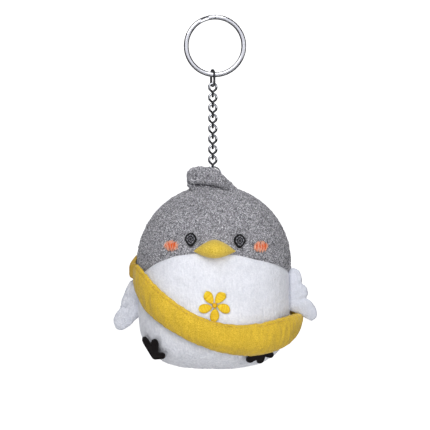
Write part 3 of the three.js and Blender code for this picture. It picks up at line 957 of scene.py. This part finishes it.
# %% Panels
PANELS = {
    "head_front_cover": ("head_front_panel", "grey_boucle", GREY_BOUCLE, boucle, (1, -1, 0)),
    "head_back_cover": ("head_back_panel", "grey_boucle", GREY_BOUCLE, boucle, (1, 1, 0)),
    "belly_front_cover": ("belly_front_panel", "white_plush", WHITE_PLUSH, cut_pile, (-1, -1, 1)),
    "belly_back_cover": ("belly_back_panel", "white_plush", WHITE_PLUSH, cut_pile, (-1, 1, 1)),
    "base_cover": ("base_panel", "white_plush", WHITE_PLUSH, cut_pile, (0, 0, -1)),
}
SEAM_PLANES = [
    (Vector((0, -DEPTH, SEAM_FRONT_Z)) * MM, Vector((0, SEAM_SLOPE, 1)).normalized()),
    (Vector((0, 0, 0)), Vector((0, 1, 0))),
    (Vector((0, 0, BASE_SEAM_Z)) * MM, Vector((0, 0, 1))),
]
SEAM_DIP = 0.75
BASE_DIP = 0.2
SEAM_WIDTH = 0.8

subdivide(body_cloth, 2)
print("body cloth faces:", len(body_cloth.data.polygons))


def level_seam(obj, way):
    """Lifts the cloth by the seam's sag, so that a flat cut follows it, or lets it down again."""
    points = coordinates(obj) / MM
    points[:, 2] += way * waist_sag(points)
    set_coordinates(obj, points * MM)


def cut_panel(name, signs):
    """Keeps the part of the body cloth on the given side of each seam plane."""
    obj = body_cloth.copy()
    obj.data = body_cloth.data.copy()
    obj.name = name
    bpy.context.scene.collection.objects.link(obj)
    level_seam(obj, 1)
    shape = bmesh.new()
    shape.from_mesh(obj.data)
    for (place, normal), sign in zip(SEAM_PLANES, signs):
        if sign:
            bmesh.ops.bisect_plane(shape, geom=shape.verts[:] + shape.edges[:] + shape.faces[:],
                                   plane_co=place, plane_no=normal * sign, clear_inner=True,
                                   dist=0.00002)
    shape.to_mesh(obj.data)
    shape.free()
    level_seam(obj, -1)
    return obj


def panel_distance(points, signs):
    waist, side, base = seam_distance(points)
    distances = [abs(d) for d, s in zip((waist, side, base), signs) if s]
    return np.min(distances, 0)


def stitched_down(points):
    """0 under the embroidery of the face, where thread holds the pile flat, and 1 elsewhere."""
    keep = np.ones(len(points))
    for node in ("left_eye", "right_eye", "left_cheek", "right_cheek"):
        low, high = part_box(node)
        middle, half = (low + high) / 2 / MM, (high - low) / 2 / MM
        away = np.hypot((points[:, 0] - middle.x) / half.x, (points[:, 2] - middle.z) / half.z)
        keep = np.minimum(keep, np.clip((away - 1.05) / 0.3, 0, 1))
    return np.where(points[:, 1] < 0, keep, 1.0)


ALLOWANCE = 1.6


def turn_in(obj):
    """Folds the cut edge towards the middle of the body, as a seam allowance."""
    shape = bmesh.new()
    shape.from_mesh(obj.data)
    edges = [e for e in shape.edges if e.is_boundary]
    grown = bmesh.ops.extrude_edge_only(shape, edges=edges)
    centre = Vector(BODY_CORE) * MM
    for v in grown["geom"]:
        if isinstance(v, bmesh.types.BMVert):
            v.co += (centre - v.co).normalized() * ALLOWANCE * MM
    shape.to_mesh(obj.data)
    shape.free()


for name, (node, slot, finish, kind, signs) in PANELS.items():
    panel = cut_panel(name, signs)
    points = coordinates(panel) / MM
    near = panel_distance(points, signs)
    depth = np.where(abs(points[:, 2] - BASE_SEAM_Z) < 3, BASE_DIP, SEAM_DIP)
    dip = depth * np.exp(-(near / SEAM_WIDTH) ** 1.5)
    set_coordinates(panel, (points - vertex_normals(panel) * dip[:, None]) * MM)
    raise_pile(panel, kind, np.clip(near / 1.0, 0.25, 1) * stitched_down(points))
    turn_in(panel)
    panel.data.polygons.foreach_set("use_smooth", [True] * len(panel.data.polygons))
    install(panel, PLUSH, finish, [node])
    print(name, "faces:", len(panel.data.polygons))
bpy.data.objects.remove(body_cloth)
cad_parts["stuffing"].data.materials.clear()
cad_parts["stuffing"].data.materials.append(FIBRE_FILLING)

# %% [markdown]
# ## The tape that holds the jump ring
# A short woven tape is folded over the jump ring's wire and its two ends go down into the crown
# seam. Across its length run fine ribs, which are the weft threads of the weave.

# %% Hanging tape
tape_low, tape_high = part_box("hanging_loop")
TAPE_WIDE = (tape_high.x - tape_low.x) / MM
TAPE_X = (tape_low.x + tape_high.x) / 2 / MM
TAPE_RADIUS, TAPE_THICK = 1.15, 0.7
RIB, RIB_HEIGHT, TAPE_LEG = 0.32, 0.07, 1.6
arch_z = tape_high.z / MM - TAPE_RADIUS - TAPE_THICK / 2
half_arch = TAPE_RADIUS * math.pi / 2
rows = []
for s in np.arange(-half_arch - TAPE_LEG, half_arch + TAPE_LEG, RIB / 6):
    angle = max(-half_arch, min(s, half_arch)) / TAPE_RADIUS
    foot_z = arch_z - max(abs(s) - half_arch, 0)
    rib = RIB_HEIGHT * math.sin(2 * math.pi * s / RIB)
    rows.append([(TAPE_X + a, (TAPE_RADIUS + b * (1 + rib / TAPE_THICK * 2)) * math.sin(angle),
                  foot_z + (TAPE_RADIUS + b * (1 + rib / TAPE_THICK * 2)) * math.cos(angle))
                 for a, b in rounded_strip(TAPE_WIDE, TAPE_THICK, 0.3)])
points, faces = loft(rows, caps=True)
tape = new_object("hanging_tape", points * MM, faces)
outward(tape)
install(tape, PLUSH, LOOP_TAPE, ["hanging_loop"])
print("hanging tape", round(TAPE_WIDE, 2), "mm wide")

# %% Crest, beak, wings and sash finishes
subdivide(crest, 3)
here = coordinates(crest) / MM
up = (here[:, 2] - np.interp(here[:, 0], along, middles)) / np.interp(here[:, 0], along, highs)
back = (here[:, 1] - CREST_Y) / np.interp(here[:, 0], along, deeps)
# painted shade: the tone is darkened along the crest's crease, where shadow falls in the fold
painted_crease_shade = np.exp(-((np.degrees(np.arctan2(up, back)) + 360 - CREASE_TURN) % 360 / 9) ** 2)
painted_crease_shade += np.exp(-((CREASE_TURN - 360 - np.degrees(np.arctan2(up, back))) % 360 / 9) ** 2)
raise_pile(crest, boucle, shade=0.75 * painted_crease_shade)
install(crest, PLUSH, GREY_BOUCLE, ["crest"])
subdivide(beak, 2)
install(beak, PLUSH, BEAK_VELOUR, ["beak"])
for obj, node, way in ((left_wing, "left_wing", -1), (right_wing, "right_wing", 1)):
    subdivide(obj, 2)
    # painted shade lowers the wing's tone
    raise_pile(obj, cut_pile, shade=PAINTED_WING_SHADE[way])
    install(obj, None, WHITE_PLUSH, [node])
    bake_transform(obj)
subdivide(sash, 2)
here = coordinates(sash)
wrinkle = [0.22 * noise.noise(Vector(p) * 0.33) + 0.12 * noise.noise(Vector(p) * 1.1)
           + 0.05 * noise.noise(Vector(p) * 3.5)
           + 0.3 * noise.noise(Vector((p[0] * 0.5, p[1] * 0.5, p[2] * 0.15))) for p in here / MM]
set_coordinates(sash, here + vertex_normals(sash) * np.array(wrinkle)[:, None] * MM)
install(sash, PLUSH, SASH_VELOUR, ["sash_crescent"])

# %% Stitches along the sash's upper seam
def seam_stitches(name, angles, drop, length):
    """Short stitches just under the sash's top edge, each bridging two points of the seam."""
    parts = []
    for angle in angles:
        ends = []
        for turn in np.linspace(angle, angle + length, 5):
            top, bulge, off = (float(np.interp(turn, smooth_angles, column))
                               for column in (tops, bulges, offs))
            ends.append(around(turn, top - drop, off + 0.55 * bulge + 0.25))
        path = np.array(ends)
        out = path - BODY_CORE
        out /= np.linalg.norm(out, axis=1)[:, None]
        hump = np.array([-0.35, 0.12, 0.2, 0.12, -0.35])
        parts.append(sweep(path + out * hump[:, None], 5, 0.13, out=out))
    points, faces = merge(parts)
    obj = new_object(name, points * MM, faces)
    outward(obj)
    set_tone(obj, np.full(len(points), 0.2))
    install(obj, PLUSH, SEAM_THREAD)


seam_stitches("sash_seam_stitches", np.arange(16, 172, 2.6), 1.25, 1.5)

# %% [markdown]
# ## The strap round the back
# The sash goes on round the back as a flat folded strap. Flat webbing is modelled directly,
# because a remesh or a simulation would round its edges away.

# %% Back strap
STRAP_MIDDLE_Z, STRAP_FALL, STRAP_RISE = -131.8, 0.29, 0.5
STRAP_WIDE, STRAP_THICK = 8.0, 2.2
STRAP_START, STRAP_END = 183.5, 370
rows = []
for angle in np.linspace(STRAP_START, STRAP_END, 130):
    z = STRAP_MIDDLE_Z
    for _ in range(6):
        x, y, _z = around(angle, z, 0.5)
        z = STRAP_MIDDLE_Z - STRAP_FALL * x + STRAP_RISE * max(y, 0)
    s = np.linspace(-1, 1, 15)
    arch = np.clip(1 - np.abs(s) ** 5, 0, 1) ** 0.6
    ease = min(1.0, (angle - STRAP_START) / 4 + 0.35, max((STRAP_END + 1 - angle) / 8, 0.1))
    puff = math.exp(-((angle - 359) / 7) ** 2)
    off = 0.5 + 2.4 * max(0, 1 - (angle - STRAP_START) / 26) ** 2
    outer = around(angle, z + s * STRAP_WIDE / 2, off + (STRAP_THICK + 0.9 * puff) * arch * ease)
    inner = around(angle, z + s[-2:0:-2] * STRAP_WIDE / 2, 0.45)
    rows.append(np.vstack([outer, inner]))
points, faces = loft(rows, caps=True)
strap = new_object("sash_back_strap_cover", points * MM, faces)
outward(strap)
subdivide(strap, 1)
install(strap, PLUSH, STRAP_VELOUR, ["sash_back_strap"])

# %% [markdown]
# ## Embroidery
# Eyes, cheeks and the chest flower are satin stitch: threads laid side by side across a shape.
# Each thread is a thin tube that starts and ends in the cloth and arches over it, so the stitches
# catch the light one by one.

# %% Threads
THREAD_STEPS, THREAD_SIDES = 9, 5


def thread(start, end, lift, radius):
    """One stitch between two (x, z) points on the front of the body."""
    t = np.linspace(0, 1, THREAD_STEPS)
    x = start[0] + (end[0] - start[0]) * t
    z = start[1] + (end[1] - start[1]) * t
    height = -0.15 + (lift + 0.15) * np.sin(np.pi * t) ** 0.35
    path = on_front(x, z, 0.0)
    out = path - BODY_CORE
    out /= np.linalg.norm(out, axis=1)[:, None]
    return sweep(path + out * height[:, None], THREAD_SIDES, radius, out=out)


def stitched(name, stitches, node, finish):
    """stitches: (start, end, lift, radius, tone)."""
    parts = [thread(*stitch[:4]) for stitch in stitches]
    points, faces = merge(parts)
    obj = new_object(name, points * MM, faces)
    outward(obj)
    tones = np.concatenate([np.full(len(part[0]), stitch[4])
                            for part, stitch in zip(parts, stitches)])
    set_tone(obj, tones)
    install(obj, PLUSH, finish, [node] if node else ())
    return obj


# %% Cheeks
random = np.random.default_rng(7)
for side, node in (("left", "left_cheek"), ("right", "right_cheek")):
    low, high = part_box(node)
    cx, cz = (low.x + high.x) / 2 / MM, (low.z + high.z) / 2 / MM
    stitches = []
    for i in range(17):
        s = -1 + 2 * (i + 0.5) / 17
        reach = 2.6 * math.sqrt(1 - abs(s) ** 2.4) * random.uniform(0.82, 1.08)
        x = cx + 3.3 * s
        lean = random.uniform(-0.35, 0.35)
        stitches.append(((x - lean, cz - reach), (x + lean, cz + reach), 0.4, 0.2,
                         random.uniform(0.55, 1)))
    for i in range(11):
        x = cx + random.uniform(-2.3, 2.3)
        middle = cz + random.uniform(-0.5, 0.5)
        reach = random.uniform(0.7, 1.6)
        lean = random.uniform(-0.3, 0.3)
        stitches.append(((x - lean, middle - reach), (x + lean, middle + reach), 0.7, 0.22,
                         random.uniform(0, 0.15)))
    stitched(f"{side}_cheek_stitches", stitches, node, CHEEK_THREAD)

# %% Eyes
def eye_outline(angle):
    """A drop with its point down."""
    down = np.clip(-np.sin(angle), 0, 1)
    return 2.6 * np.cos(angle) * (1 - 0.6 * down ** 1.5), 3.15 * np.sin(angle)


EYE_RINGS = [(0.98, 0.26, 0.0), (0.82, 0.22, 0.0), (0.64, 0.24, 0.8), (0.48, 0.18, 0.0),
             (0.3, 0.22, 0.6), (0.12, 0.2, 0.1)]
for side, node in (("left", "left_eye"), ("right", "right_eye")):
    low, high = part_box(node)
    cx, cz = (low.x + high.x) / 2 / MM, (low.z + high.z) / 2 / MM
    turns = np.arange(56) * 2 * np.pi / 56
    parts, tones = [], []
    for size, wide, tone in EYE_RINGS:
        ex, ez = eye_outline(turns)
        jitter = 1 + 0.035 * np.sin(turns * 5 + size * 20)
        path = on_front(cx + ex * size * jitter, cz + ez * size * jitter, 0.0)
        out = path - BODY_CORE
        out /= np.linalg.norm(out, axis=1)[:, None]
        lift = 0.35 + 0.4 * math.sqrt(1 - size ** 2) + 0.1 * (tone > 0.3)
        part = sweep(path + out * lift, 6, wide, True, out)
        parts.append(part)
        tones += list(np.repeat(tone * (0.55 + 0.45 * np.sin(turns * 8 + size * 30)), 6))
    under = [on_front(cx + eye_outline(turns)[0] * size, cz + eye_outline(turns)[1] * size, lift)
             for size, lift in ((1.0, -0.2), (0.97, 0.3), (0.6, 0.55), (0.05, 0.65))]
    parts.append(loft(under, caps=True))
    tones += [0.0] * len(parts[-1][0])
    points, faces = merge(parts)
    obj = new_object(f"{side}_eye_stitches", points * MM, faces)
    outward(obj)
    set_tone(obj, tones)
    install(obj, PLUSH, EYE_THREAD, [node])

# %% Chest flower
motif_low, motif_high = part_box("chest_motif")
FLOWER_X = (motif_low.x + motif_high.x) / 2 / MM
FLOWER_Z = motif_high.z / MM - 7.6
stitches = []
for petal in range(5):
    angle = math.radians(36 + 72 * petal)
    ahead = np.array([math.sin(angle), math.cos(angle)])
    across = np.array([ahead[1], -ahead[0]])
    for i in range(17):
        s = -1 + 2 * (i + 0.5) / 17
        reach = 2.1 * math.sqrt(1 - s * s) * (1 + 0.25 * s)
        middle = np.array([FLOWER_X, FLOWER_Z]) + ahead * (4.5 + 3.0 * s)
        lean = ahead * 0.25
        stitches.append((middle - across * reach - lean, middle + across * reach + lean,
                         0.5, 0.2, random.uniform(0.2, 1)))
for i in range(8):
    angle = math.radians(22.5 * i)
    d = np.array([math.cos(angle), math.sin(angle)]) * 1.15
    middle = np.array([FLOWER_X, FLOWER_Z])
    stitches.append((middle - d, middle + d, 0.7, 0.2, 0.0))
stitched("chest_flower_stitches", stitches, "chest_motif", MOTIF_THREAD)

# %% [markdown]
# ## Feet
# The feet are felt shapes with three toes, sewn flat on the lower front with a corded edge. The
# outline is the union of three rounded bars from the heel, so one ray per direction finds it.

# %% Feet
def toe_reach(heel, toe, direction):
    """How far a ray from the heel stays inside a bar that narrows from heel to toe."""
    span = np.array([toe[0] - heel[0], toe[1] - heel[1]])
    best = heel[2]
    for t in np.linspace(0, 1, 25):
        centre = span * t
        r = heel[2] + (toe[2] - heel[2]) * t
        along = centre @ direction
        off = centre @ centre - along ** 2
        if off < r * r:
            best = max(best, along + math.sqrt(r * r - off))
    return best


FEET = {
    "left_foot": ((-28.6, -161.0, 1.7),
                  [(-33.4, -153.2, 1.6), (-28.6, -154.3, 1.8), (-25.0, -160.6, 1.6)]),
    "right_foot": ((22.6, -158.4, 1.9),
                   [(16.4, -162.2, 1.8), (21.4, -162.8, 1.8), (26.6, -160.4, 1.5)]),
}


def foot(node):
    heel, toes = FEET[node]
    turns = np.arange(120) * 2 * np.pi / 120
    edge = np.array([max(toe_reach(heel, toe, np.array([math.cos(a), math.sin(a)]))
                         for toe in toes) for a in turns])
    sizes = [0.04, 0.3, 0.5, 0.66, 0.78, 0.87, 0.93, 0.97, 1.0, 1.0]
    lifts = [1.15, 1.15, 1.12, 1.1, 0.95, 1.05, 1.2, 1.05, 0.7, -0.2]
    rows = []
    for size, lift in zip(sizes, lifts):
        x = heel[0] + edge * size * np.cos(turns)
        z = heel[1] + edge * size * np.sin(turns)
        rows.append(on_front(x, np.maximum(z, -167.4), lift))
    points, faces = loft(rows, caps=True)
    obj = new_object(f"{node}_felt", points * MM, faces)
    outward(obj)
    subdivide(obj, 1)
    install(obj, PLUSH, BLACK_FELT, [node])
    x = heel[0] + edge * 0.95 * np.cos(turns)
    z = np.maximum(heel[1] + edge * 0.95 * np.sin(turns), -167.2)
    points, faces = sweep(on_front(x, z, 1.2), 6, 0.2, True, on_front(x, z, 1.2) - (0, 40, 0))
    cord = new_object(f"{node}_edge_stitches", points * MM, faces)
    outward(cord)
    set_tone(cord, np.repeat(0.5 + 0.5 * np.sin(turns * 24), 6))
    install(cord, PLUSH, FOOT_THREAD)


foot("left_foot")
foot("right_foot")

# %% [markdown]
# ## Light and floor
# Large soft lamps high in front do most of the work, so the bird is brightest above and darker
# underneath. The room is bright in front and dark elsewhere, which, with the painted shade on the
# metal finish's edges, gives the plated wire its dark edges. The floor curves up into a round wall,
# open in front, so there is no horizon. The floor sends light back up, but the wall, white as it
# looks, lights nothing, as if it stood much further off than it does.

# %% Room
scene = bpy.context.scene
scene.view_settings.view_transform = "Standard"
world = bpy.data.worlds.new("world")
world.use_nodes = True
room = world.node_tree
direction = room.nodes.new("ShaderNodeTexCoord")
axes = room.nodes.new("ShaderNodeSeparateXYZ")
room.links.new(direction.outputs["Generated"], axes.inputs["Vector"])


def across_room(axis, low, high, stops):
    """A grey that changes from one side of the room to the other."""
    place = room.nodes.new("ShaderNodeMapRange")
    room.links.new(axes.outputs[axis], place.inputs["Value"])
    place.inputs["From Min"].default_value = low
    place.inputs["From Max"].default_value = high
    return ramp(room, place.outputs["Result"], [(p, (v, v, v * 1.03, 1)) for p, v in stops])


front = across_room("Y", -1, 1, [(0, 1.0), (0.03, 0.9), (0.07, 0.25), (0.2, 0.03), (1, 0.015)])
height = across_room("Z", -0.6, 0.3, [(0, 0.6), (0.6, 0.7), (0.72, 1.0), (1, 1.0)])
seen = mix(room, 1.0, front, height, "MULTIPLY")
rays = room.nodes.new("ShaderNodeLightPath")
seen = mix(room, rays.outputs["Is Camera Ray"], seen, (0.75, 0.75, 0.76, 1))
room.links.new(seen, room.nodes["Background"].inputs["Color"])
room.nodes["Background"].inputs["Strength"].default_value = 1.15
scene.world = world

# %% Floor and wall
FLOOR_Z = -0.26
profile = [(r, 0.0) for r in (0.02, 0.15, 0.3, 0.45, 0.6, 0.8, 1.0, 1.2, 1.4, 1.6, 1.8)]
profile += [(1.8 + 0.6 * math.sin(a), 0.6 * (1 - math.cos(a)))
            for a in np.linspace(0.1, math.pi / 2, 16)]
profile += [(2.4, 1.0), (2.4, 1.6), (2.4, 2.6)]
rows = []
for r, rise in profile:
    row = []
    for turn in np.arange(96) * 3.75:
        front = 1 - step(abs(turn - 270), 50, 100)
        angle = math.radians(turn)
        row.append((r * math.cos(angle), r * math.sin(angle), FLOOR_Z + rise * (1 - 0.97 * front)))
    rows.append(row)
points, faces = loft(rows)
backdrop = new_object("backdrop", points, faces)
glow = backdrop.data.attributes.new("glow", "FLOAT", "POINT")
fade = [math.exp(-(x / 0.7) ** 4) * step(y, 0.4, 1.0) * (1 - step(z, 0.5, 1.4)) for x, y, z in points]
glow.data.foreach_set("value", [0.45 + 0.55 * f for f in fade])
near = backdrop.data.attributes.new("near", "FLOAT", "POINT")
near.data.foreach_set("value", [(1 - step(y, 0.2, 0.8)) * (1 - step(math.hypot(x, y), 1.1, 1.7))
                                for x, y, z in points])
paper, tree, shader = new_finish("backdrop_paper")
shader.inputs["Roughness"].default_value = 0.9
shader.inputs["Emission Color"].default_value = (1, 1, 1, 1)
lit = tree.nodes.new("ShaderNodeAttribute")
lit.attribute_name = "glow"
rays = tree.nodes.new("ShaderNodeLightPath")
only_seen = tree.nodes.new("ShaderNodeMath")
only_seen.operation = "MULTIPLY"
tree.links.new(lit.outputs["Fac"], only_seen.inputs[0])
tree.links.new(rays.outputs["Is Camera Ray"], only_seen.inputs[1])
tree.links.new(only_seen.outputs["Value"], shader.inputs["Emission Strength"])
close = tree.nodes.new("ShaderNodeAttribute")
close.attribute_name = "near"
bounced = mix(tree, close.outputs["Fac"], (0.08, 0.08, 0.08, 1), (0.84, 0.84, 0.84, 1))
paper_colour = mix(tree, rays.outputs["Is Camera Ray"], bounced, (0.84, 0.84, 0.84, 1))
tree.links.new(paper_colour, shader.inputs["Base Color"])
backdrop.data.materials.append(paper)


# %% Lamps
def soft_light(name, place, size, power):
    data = bpy.data.lights.new(name, "AREA")
    data.shape = "DISK"
    data.size = size
    data.energy = power
    lamp = bpy.data.objects.new(name, data)
    lamp.location = place
    lamp.rotation_euler = (VIEW_MIDDLE - Vector(place)).to_track_quat("-Z", "Y").to_euler()
    scene.collection.objects.link(lamp)


soft_light("key_light", (-0.25, -1.15, 0.6), 0.9, 11.6)
soft_light("fill_light", (0.75, -0.95, 0.0), 0.8, 4.0)
soft_light("top_light", (-0.1, -0.2, 1.0), 0.7, 3.5)
soft_light("back_light", (0.2, 1.3, 0.5), 0.8, 9.0)
